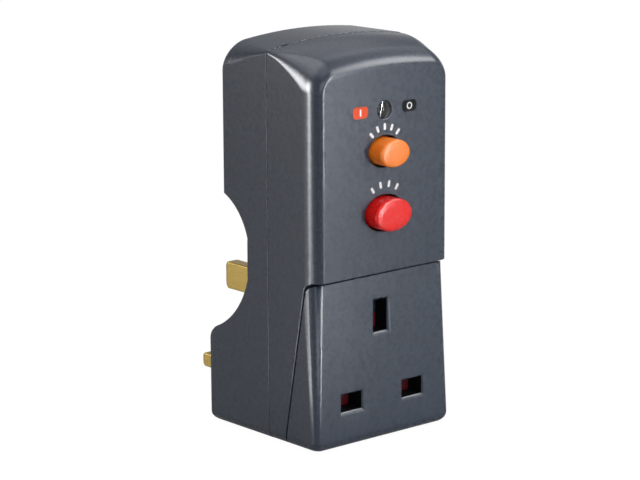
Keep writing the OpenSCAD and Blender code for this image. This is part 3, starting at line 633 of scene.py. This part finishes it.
def make_oval(name, size, height, depth, vertices=72):
    """An oval rod on the middle line, between two depths."""
    bpy.ops.object.select_all(action="DESELECT")
    bpy.ops.mesh.primitive_cylinder_add(vertices=vertices, radius=MM, depth=MM, rotation=(QUARTER, 0, 0),
                                        location=place(0, sum(depth) / 2, height))
    oval = bpy.context.object
    oval.name = name
    oval.scale = (size[0] / 2, size[1] / 2, depth[1] - depth[0])
    settle(oval)
    return oval


def make_hole(name, size, height, gap=0.0, vertices=72):
    """A cutter for an oval hole through the front wall, wider than a size by a gap all round."""
    through = (-5, 5)
    return make_oval(name, [across + 2 * gap for across in size], height, through, vertices)


def gap_edge(z, shift):
    """Depth of the slanting gap beside the socket cover at a height."""
    return GAP_BASE + shift - (GAP_BASE - GAP_TOP) * z / STEP_HEIGHT


def make_cover_room(name, shift, drop=0):
    """The room of the socket cover: a block with a slanting back edge and a rounded upper corner."""
    floor = -10
    top = STEP_HEIGHT + shift - drop
    room = add_block(name, PAST_SIDES, (PAST_FRONT, gap_edge(top, shift)), (floor, top))
    edit(room, "EDGE")
    select_edges(room, lambda at, run: at[1] > 0 and at[2] < 0 and abs(run.x) > FACING)
    bpy.ops.transform.translate(value=(0, (gap_edge(floor, shift) - gap_edge(top, shift)) * MM, 0))
    select_edges(room, lambda at, run: at[1] > 0 and at[2] > 0 and abs(run.x) > FACING)
    bpy.ops.mesh.bevel(offset=GAP_CORNER * MM, segments=12, affect="EDGES")
    leave_edit()
    return room


def near_window(at, radius):
    return math.hypot(at[0], at[2] - WINDOW_HEIGHT) < radius


def at_seam(depth):
    return abs(depth - SEAM_DEPTH) < CLOSE


def window_rim(at):
    return at[1] < NEAR and near_window(at, 2.6)


def front_rims(at):
    x, depth, z = at
    if depth < 1 and near_window(at, 3.2):
        return False
    on_skin = abs(x) > HALF_WIDTH - RIM_REACH or depth < NEAR or z < NEAR
    at_step = abs(z - STEP_HEIGHT) < NEAR and abs(x) > 20 and depth < 6
    return on_skin or at_step or at_seam(depth)


def make_front():
    ledge_depth = 13
    ledge_height = (STEP_HEIGHT - 20, STEP_HEIGHT + WALL)
    window_size = (4.8, 4.8)
    window_turn = 0.45
    shell = make_front_solid("front_shell", 0, SEAM_DEPTH)
    hollow = make_front_solid("hollow", WALL, SEAM_DEPTH + 1)
    cut(hollow, add_block("ledge", PAST_SIDES, (PAST_FRONT, ledge_depth), ledge_height))
    cut(shell, hollow,
        make_hole("reset_hole", RESET_SIZE, RESET_HEIGHT, HOLE_GAP),
        make_hole("test_hole", TEST_SIZE, TEST_HEIGHT, HOLE_GAP),
        make_hole("window_hole", window_size, WINDOW_HEIGHT, vertices=64),
        make_cover_room("cover_room", 0))
    soften(shell, window_turn, window_rim)
    soften(shell, SHELL_RIM, front_rims)
    hand_in(shell, "casing", "casing_plastic", "front_housing")


def rear_rims(at):
    x, depth, z = at
    on_skin = abs(x) > HALF_WIDTH - RIM_REACH or z < NEAR
    on_plug = depth > PLUG_DEPTH - CLOSE
    on_block = abs(abs(x) - PLUG_BLOCK_HALF) < CLOSE and depth > BACK_DEPTH - 1
    at_lip = abs(z - LIP_HEIGHT) < 2 and depth > PLUG_DEPTH - 2
    return (on_skin or on_plug or on_block or at_seam(depth)) and not at_lip


def make_lip_fill(name, side):
    """Carries a scoop's curve on to its lip, between the side and the plug block."""
    overlap = 0.4
    tip = 0.3
    floor = 27.7
    steps = 8
    start = BACK_DEPTH - overlap
    depths = [start + (LIP_JOIN - start) * step / steps for step in range(steps + 1)]
    curve = [(depth, SCOOP_MIDDLE[1] - math.sqrt(SCOOP_RADIUS ** 2 - (SCOOP_MIDDLE[0] - depth) ** 2))
             for depth in depths]
    profile = curve + [(LIP_JOIN - tip, floor), (start, floor)]
    ends = (side * (PLUG_BLOCK_HALF - 1), side * HALF_WIDTH)
    return make_loft(name, [[(x, depth, z) for depth, z in profile] for x in ends])


def make_rear():
    """The rear keeps its solid's scoops and plug block under a smoothly rounded top."""
    spare = 0.03
    top = make_rear_top("rear_top", spare)
    foot = add_block("rear_foot", (-HALF_WIDTH - spare, HALF_WIDTH + spare),
                     (SEAM_DEPTH - SEAM_OVERLAP, PLUG_DEPTH + spare), (-spare, SCOOP_TOP))
    edit(foot, "EDGE")
    select_edges(foot, lambda at, run: at[2] < 0 and at[1] > SEAM_DEPTH)
    bpy.ops.mesh.bevel(offset=FOOT_TURN * MM, segments=FOOT_STEPS, affect="EDGES")
    leave_edit()
    cut(top, foot, operation="UNION")
    shell = copy_node("rear_housing", "rear_shell")
    cut(shell, top, operation="INTERSECT")
    cut(shell, make_lip_fill("left_fill", -1), make_lip_fill("right_fill", 1), operation="UNION")
    merge_faces(shell, threshold=0.01)
    soften(shell, SHELL_RIM, rear_rims)
    hand_in(shell, "casing", "casing_plastic", "rear_housing")


def cover_rims(at):
    x, depth, z = at
    on_edge = abs(x) > HALF_WIDTH - RIM_REACH or z > STEP_HEIGHT - 0.55
    behind_slots = abs(x) < 16 and depth > COVER_LEAN * z + 1
    return z > 1 and on_edge and not behind_slots


def make_cover_solid(name, inset, top, back):
    """The cover: a leaning face on a rounded foot, with corners that grow from the foot to the step."""
    foot_turn = FOOT_TURN - FOOT_SHRINK * inset
    foot_corner = (1.5, 2.1)
    growth = (0.053, 0.049)
    shrink = (0.4, 0.5)
    levels = []
    for step in range(FOOT_STEPS + 1):
        angle = math.radians(90 * step / FOOT_STEPS)
        levels.append((inset + foot_turn * (1 - math.cos(angle)), foot_turn * (1 - math.sin(angle))))
    levels.append((top, 0))
    rows = []
    for z, gone in levels:
        corner_width = foot_corner[0] + growth[0] * z - shrink[0] * inset
        corner_depth = foot_corner[1] + growth[1] * z - shrink[1] * inset
        half = HALF_WIDTH - inset - gone
        face = COVER_LEAN * z + inset + gone
        left = [(-half, back)]
        for angle in reversed(quarter()):
            x = corner_width * (1 - math.cos(angle)) - half
            left.append((x, face + corner_depth * (1 - math.sin(angle))))
        right = [(-x, depth) for x, depth in reversed(left)]
        rows.append([(x, depth, z) for x, depth in left + right])
    return make_loft(name, rows)


def in_slot(at):
    """Whether a place is on a slot's walls, behind the chamfer, where they are painted black as shade."""
    for _, x, z, width, height in SLOTS:
        if abs(at[0] - x) < width / 2 + CLOSE and abs(at[2] - z) < height / 2 + CLOSE:
            return at[1] > COVER_LEAN * z + SLOT_CHAMFER
    return False


def make_slot(name, x, z, width, height):
    """A slot with a chamfered mouth."""
    face = COVER_LEAN * z
    ahead = 1.0
    through = (face - 2, face + 14)
    across = (x - width / 2, x + width / 2)
    upright = (z - height / 2, z + height / 2)
    slot = add_block(name, across, through, upright)
    mouth = add_block(name + "_mouth", across, (face - ahead, face + SLOT_CHAMFER), upright)
    edit(mouth)
    select_faces(mouth, lambda at, normal: normal.y < -FACING)
    spread_by = 2 * (SLOT_CHAMFER + ahead)
    bpy.ops.transform.resize(value=(1 + spread_by / width, 1, 1 + spread_by / height),
                             center_override=place(x, face, z))
    leave_edit()
    return slot, mouth


def make_cover():
    """A new skin with the slots, round the bosses and collars of the solid, and painted shade on the slot
    walls.
    """
    overlap = 0.3
    hollow_top = STEP_HEIGHT + 4
    hollow_back = 30
    shell_top = STEP_HEIGHT + 2
    shell_back = 16
    shell = make_cover_solid("cover_shell", 0, shell_top, shell_back)
    cut(shell, make_cover_solid("cover_hollow", WALL, hollow_top, hollow_back))
    cut(shell, make_cover_room("cover_bounds", -COVER_GAP, STEP_GAP), operation="INTERSECT")
    inner = copy_node("socket_cover", "cover_inner")
    core = make_cover_solid("cover_core", WALL - overlap, hollow_top, hollow_back)
    cut(inner, core, operation="INTERSECT")
    cut(shell, inner, operation="UNION")
    for name, x, z, width, height in SLOTS:
        cut(shell, *make_slot(name, x, z, width, height))
    soften(shell, width=0.3, test=cover_rims)
    hand_in(shell, "casing", "casing_plastic", "socket_cover")
    # The slot walls behind the chamfers take the black print as painted shade, dark as the shadow inside the
    # slots.
    shell.data.materials.append(print_and_shade_black)
    for face in shell.data.polygons:
        if in_slot(drawn(face.center)):
            face.material_index = 1


def make_casing():
    make_front()
    make_rear()
    make_cover()


# Buttons: an oval barrel with a rounded, slightly crowned face, a flange and a stem
def draw_back(distance):
    """Extrudes the selected faces towards the back."""
    bpy.ops.mesh.extrude_region_move(TRANSFORM_OT_translate={"value": (0, distance * MM, 0)})


def crown_face(rings):
    """Raises the selected face in rings of a width and a rise each."""
    for width, rise in rings:
        bpy.ops.mesh.inset(thickness=width * MM, depth=rise * MM)


def make_button(name, size, height, proud, stem_end, stem_width):
    flange_front = 2.4
    flange_back = 3.9
    flange_reach = 1.2
    rings = ((0.8, 0.0), (0.8, 0.12), (0.8, 0.06))
    crown_room = 0.22
    barrel = proud - crown_room
    button = make_oval(name, size, height, (-barrel, flange_front))
    edit(button)
    select_faces(button, lambda at, normal: normal.y > FACING)
    bpy.ops.mesh.inset(thickness=flange_reach * MM, use_outset=True)
    draw_back(flange_back - flange_front)
    bpy.ops.mesh.inset(thickness=(size[1] / 2 + flange_reach - stem_width / 2) * MM)
    draw_back(stem_end - flange_back)
    bpy.ops.mesh.select_mode(type="FACE")
    select_faces(button, lambda at, normal: normal.y < -FACING and at[1] < NEAR - barrel)
    crown_face(rings)
    leave_edit()
    soften(button, width=0.85, test=lambda at: abs(at[1] + barrel) < 0.02, segments=6, sharp=50)
    smooth(button, angle=40)
    return button


def make_buttons():
    reset = make_button("reset_cap", RESET_SIZE, RESET_HEIGHT, proud=5.0, stem_end=16.0, stem_width=4.8)
    hand_in(reset, "reset_button", "orange_plastic", "reset_button")
    test = make_button("test_cap", TEST_SIZE, TEST_HEIGHT, proud=4.4, stem_end=14.5, stem_width=4.0)
    hand_in(test, "test_button", "red_plastic", "test_button")


# Pins, sleeves and screws keep their solids, with their edges rounded
def behind_plug(at):
    return at[1] > PLUG_DEPTH - 1


def make_pins():
    for node in ("line_pin", "neutral_pin", "earth_pin"):
        pin = copy_node(node, node + "_blade")
        soften(pin, width=0.45, test=behind_plug, segments=4, sharp=20)
        hand_in(pin, "casing", "pin_brass", node)
    sleeves = copy_node("pin_sleeves", "sleeve_pair")
    soften(sleeves, width=0.4, test=lambda at: behind_plug(at) and abs(at[2] - LIVE_HEIGHT) > 1.9)
    hand_in(sleeves, "casing", "sleeve_plastic", "pin_sleeves")


def make_screws():
    head_depth = 33
    screws = copy_node("case_screws", "case_screw_set")
    soften(screws, width=0.25, test=lambda at: at[1] > head_depth, segments=2, sharp=30)
    hand_in(screws, "casing", "screw_steel", "case_screws")


# Indicator window: a clear plug with a domed face
def make_window():
    lens_size = (4.72, 4.72)
    lens_depth = (0.3, 2.2)
    near_face = 0.5
    flange_reach = 0.8
    flange_thickness = 0.8
    guide_step = 1.1
    guide_length = 4.3
    rings = ((0.5, 0.2), (0.6, 0.12), (0.6, 0.05))
    lens = make_oval("window_lens", lens_size, WINDOW_HEIGHT, lens_depth, 48)
    edit(lens)
    select_faces(lens, lambda at, normal: normal.y > FACING)
    bpy.ops.mesh.inset(thickness=flange_reach * MM, use_outset=True)
    draw_back(flange_thickness)
    bpy.ops.mesh.inset(thickness=guide_step * MM)
    draw_back(guide_length)
    select_faces(lens, lambda at, normal: normal.y < -FACING and at[1] < near_face)
    crown_face(rings)
    leave_edit()
    soften(lens, width=0.15, test=lambda at: at[1] < near_face, sharp=30)
    smooth(lens, angle=40)
    hand_in(lens, "casing", "lens_clear", "indicator_lens")


# Springs: each spring that a joint lists becomes a smoothed copy of its solid
def make_springs():
    for joint in frame["record"]["behaviour"]["joints"]:
        for spring in joint.get("deforming_nodes", ()):
            node = spring["node"]
            axis = spring["mode"][-1]
            along = "xyz".index(axis)
            fixed = spring[f"fixed_end_{axis}_m"]
            low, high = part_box(node)
            anchor = [(a + b) / 2 for a, b in zip(low, high)]
            anchor[along] = fixed
            coil = copy_node(node, node + "_coil")
            smooth(coil, angle=60)
            hand_in(coil, "casing", "spring_steel", node)
            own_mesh(coil)


# Printed marks on the front: a pad with a sign on each side of the window and a fan of bars over each button
PRINT = 0.04
PRINT_DEPTH = (-PRINT, 0.02)
SIGN_DEPTH = (-2 * PRINT, -PRINT / 2)
PAD_HEIGHT = 91.85
ON_PAD = -8.7
OFF_PAD = 8.9


def add_rounded_block(name, x, depth, z, corner, segments):
    """A block whose corners are rounded as seen from the front."""
    block = add_block(name, x, depth, z)
    edit(block, "EDGE")
    select_edges(block, lambda at, run: abs(run.y) > FACING)
    bpy.ops.mesh.bevel(offset=corner * MM, segments=segments, affect="EDGES")
    leave_edit()
    return block


def around(middle, reach):
    return (middle - reach, middle + reach)


def make_pad(name, x, finish):
    pad = add_rounded_block(name, around(x, 2.6), PRINT_DEPTH, around(PAD_HEIGHT, 1.6), corner=1.1,
                            segments=8)
    smooth(pad)
    hand_in(pad, "casing", "casing_plastic", finish=finish)


def make_stroke(name, x):
    stroke = add_rounded_block(name, around(x, 0.25), SIGN_DEPTH, around(PAD_HEIGHT, 0.95), corner=0.12,
                               segments=3)
    hand_in(stroke, "casing", "casing_plastic", finish=print_white)


def make_ring(name, x, radius, width):
    """A printed ring, made by turning a small outline about the depth axis."""
    middle = place(x, -1.2 * PRINT, PAD_HEIGHT)
    bpy.ops.object.select_all(action="DESELECT")
    bpy.ops.mesh.primitive_plane_add(size=1, location=(middle[0] + radius * MM, middle[1], middle[2]))
    ring = bpy.context.object
    ring.name = name
    ring.scale = (width * MM, PRINT * MM, 1)
    settle(ring)
    edit(ring, "EDGE")
    bpy.ops.mesh.select_all(action="SELECT")
    bpy.ops.mesh.delete(type="ONLY_FACE")
    bpy.ops.mesh.select_all(action="SELECT")
    bpy.ops.mesh.spin(steps=48, angle=math.tau, center=middle, axis=(0, 1, 0))
    bpy.ops.mesh.select_all(action="SELECT")
    bpy.ops.mesh.remove_doubles(threshold=0.001 * MM)
    bpy.ops.mesh.select_all(action="SELECT")
    bpy.ops.mesh.normals_make_consistent(inside=False)
    leave_edit()
    smooth(ring)
    hand_in(ring, "casing", "casing_plastic", finish=print_white)


def make_ticks(name, height, radius, angles):
    """A fan of short printed bars over a button."""
    length = 1.9
    bars = []
    for angle in angles:
        bar = add_rounded_block(name, around(0, 0.4), PRINT_DEPTH, (radius, radius + length), corner=0.36,
                                segments=5)
        bar.rotation_euler = (0, math.radians(angle), 0)
        bar.location = (0, 0, height * MM)
        settle(bar)
        bars.append(bar)
    activate(bars[0])
    for bar in bars:
        bar.select_set(True)
    bpy.ops.object.join()
    fan = bpy.context.object
    smooth(fan)
    hand_in(fan, "casing", "casing_plastic", finish=print_white)


def make_marks():
    make_pad("on_pad", ON_PAD, print_orange)
    make_pad("off_pad", OFF_PAD, print_and_shade_black)
    make_stroke("on_stroke", ON_PAD)
    make_ring("off_ring", OFF_PAD, radius=0.8, width=0.34)
    make_ticks("reset_ticks", RESET_HEIGHT, 5.8, (-44, -22, 0, 22, 44))
    make_ticks("test_ticks", TEST_HEIGHT, 7.0, (-33, -11, 11, 33))


def dress_inside():
    for part in frame["record"]["subparts"]:
        wear(nodes[part["node"]], finishes[part["material_slot"]])


# Studio, in metres
AIM_HEIGHT = 0.07
FLOOR_DROP = 0.0002
STRIP_LIFT = 0.0005


def make_floor():
    """A pale floor that keeps the shadow and is lifted to white where the camera sees it."""
    bpy.ops.object.select_all(action="DESELECT")
    bpy.ops.mesh.primitive_plane_add(size=12, location=(0, 0, -FLOOR_DROP))
    floor = bpy.context.object
    floor.name = "floor"
    material, tree, shader = new_finish("pale_floor")
    shader.inputs["Base Color"].default_value = (0.44, 0.44, 0.44, 1)
    shader.inputs["Roughness"].default_value = 0.8
    glow = tree.nodes.new("ShaderNodeEmission")
    glow.inputs["Color"].default_value = WHITE
    glow.inputs["Strength"].default_value = 1.06
    blend = tree.nodes.new("ShaderNodeMixShader")
    tree.links.new(seen_factor(tree, amount=0.92, mirrored=0.12), blend.inputs["Fac"])
    tree.links.new(shader.outputs["BSDF"], blend.inputs[1])
    tree.links.new(glow.outputs["Emission"], blend.inputs[2])
    tree.links.new(blend.outputs["Shader"], tree.nodes["Material Output"].inputs["Surface"])
    wear(floor, material)


def seen_factor(tree, amount, mirrored):
    """One amount for the camera and glass, another for a reflection, and nothing for light."""
    path = tree.nodes.new("ShaderNodeLightPath")
    total = None
    shares = (("Is Camera Ray", amount), ("Is Transmission Ray", amount), ("Is Glossy Ray", mirrored))
    for title, share in shares:
        add = tree.nodes.new("ShaderNodeMath")
        add.operation = "MULTIPLY_ADD"
        add.use_clamp = True
        tree.links.new(path.outputs[title], add.inputs[0])
        add.inputs[1].default_value = share
        add.inputs[2].default_value = 0
        if total:
            tree.links.new(total, add.inputs[2])
        total = add.outputs["Value"]
    return total


def make_world():
    """White at the horizon where it is seen, greyer towards the zenith, and dim as light."""
    world = bpy.data.worlds.new("studio")
    world.use_nodes = True
    tree = world.node_tree
    background = tree.nodes["Background"]
    background.inputs["Color"].default_value = WHITE
    coords = tree.nodes.new("ShaderNodeTexCoord")
    split = tree.nodes.new("ShaderNodeSeparateXYZ")
    tree.links.new(coords.outputs["Generated"], split.inputs["Vector"])
    seen = spread(tree, split.outputs["Z"], 1.0, 0.3, 0.03, 0.22)
    strength = tree.nodes.new("ShaderNodeMapRange")
    strength.inputs["To Min"].default_value = 0.2
    tree.links.new(seen, strength.inputs["To Max"])
    tree.links.new(seen_factor(tree, amount=1.0, mirrored=1.0), strength.inputs["Value"])
    tree.links.new(strength.outputs["Result"], background.inputs["Strength"])
    bpy.context.scene.world = world


def make_lamp(name, direction, distance, size, power, roll=0, gloss_only=False, mirrored=True):
    """A soft box; one for gloss only shows as a streak, and one that isn't mirrored only lights."""
    data = bpy.data.lights.new(name, "AREA")
    data.shape = "RECTANGLE"
    data.size = size[0]
    data.size_y = size[1]
    data.energy = power
    lamp = bpy.data.objects.new(name, data)
    bpy.context.scene.collection.objects.link(lamp)
    towards = Vector(direction).normalized()
    lamp.location = Vector((0, 0, AIM_HEIGHT)) + towards * distance
    turned = towards.to_track_quat("Z", "Y") @ Quaternion((0, 0, 1), math.radians(roll))
    lamp.rotation_euler = turned.to_euler()
    lamp.visible_camera = False
    lamp.visible_diffuse = not gloss_only
    lamp.visible_glossy = mirrored
    return lamp


def make_floor_strip(name, foot, direction, reach, width, power):
    """A strip on the floor, outwards from a corner's foot, that carries the corner's streak down."""
    strip = make_lamp(name, (0, 0, 1), 0, (reach[1] - reach[0], width), power, gloss_only=True)
    away = Vector((*direction, 0)).normalized()
    strip.location = Vector((*foot, STRIP_LIFT)) + away * sum(reach) / 2
    strip.rotation_euler = (math.pi, 0, math.atan2(away.y, away.x))


def make_lights():
    make_lamp("top_box", (0, -0.1, 0.9), 0.9, (0.7, 0.7), 3.0)
    make_lamp("key_box", (-0.3, -0.85, 0.42), 1.0, (0.6, 0.6), 4.1)
    make_lamp("fill_box", (0.6, -0.72, 0.44), 1.0, (0.5, 0.6), 4.8, mirrored=False)
    make_lamp("back_box", (0.1, 0.9, 0.35), 1.0, (0.5, 0.5), 4.0, mirrored=False)
    make_lamp("left_strip", (-0.96, 0.2, 0.2), 0.36, (0.05, 0.3), 2.4, gloss_only=True)
    make_lamp("front_strip", (0.4, -0.9, 0.2), 0.34, (0.03, 0.3), 2.0, gloss_only=True)
    make_floor_strip("left_floor_strip", (-0.0235, -0.021), (-0.96, 0.2), (0.055, 0.34), 0.034, 0.5)
    make_floor_strip("front_floor_strip", (-0.0205, -0.0228), (0.42, -0.91), (0.08, 0.32), 0.02, 0.2)
    make_lamp("shoulder_strip", (-0.85, 0.42, 0.25), 0.5, (0.32, 0.15), 4.6, roll=25, gloss_only=True)
    make_lamp("shoulder_panel", (-0.4, 0.25, 0.88), 0.9, (0.5, 0.4), 2.2, gloss_only=True)
    make_lamp("slope_box", (0.65, -0.05, 0.72), 0.9, (1.1, 0.4), 1.3, gloss_only=True)
    make_lamp("brow_box", (0.65, -0.4, 0.62), 0.9, (0.36, 0.36), 5.0, gloss_only=True)
    make_lamp("rear_panel", (0.1, 0.62, 0.75), 0.9, (1.3, 0.7), 1.5, gloss_only=True)
    make_lamp("crown_box", (0.05, 0.3, 0.95), 0.9, (0.45, 0.45), 1.8, gloss_only=True)


def make_camera():
    tilt_down = 12.74
    turn_right = 41.70
    data = bpy.data.cameras.new("photo_camera")
    data.sensor_width = 36.0
    data.lens = 152.97
    data.shift_x = -0.0815
    data.shift_y = -0.0166
    camera = bpy.data.objects.new("photo_camera", data)
    bpy.context.scene.collection.objects.link(camera)
    camera.location = (-0.4795, -0.5559, 0.2210)
    camera.rotation_euler = (math.radians(90 - tilt_down), 0, math.radians(-turn_right))
    bpy.context.scene.camera = camera


make_camera()
make_world()
make_lights()
make_floor()
dress_inside()
make_casing()
make_buttons()
make_window()
make_pins()
make_screws()
make_springs()
make_marks()

bpy.context.scene.view_settings.view_transform = "Standard"
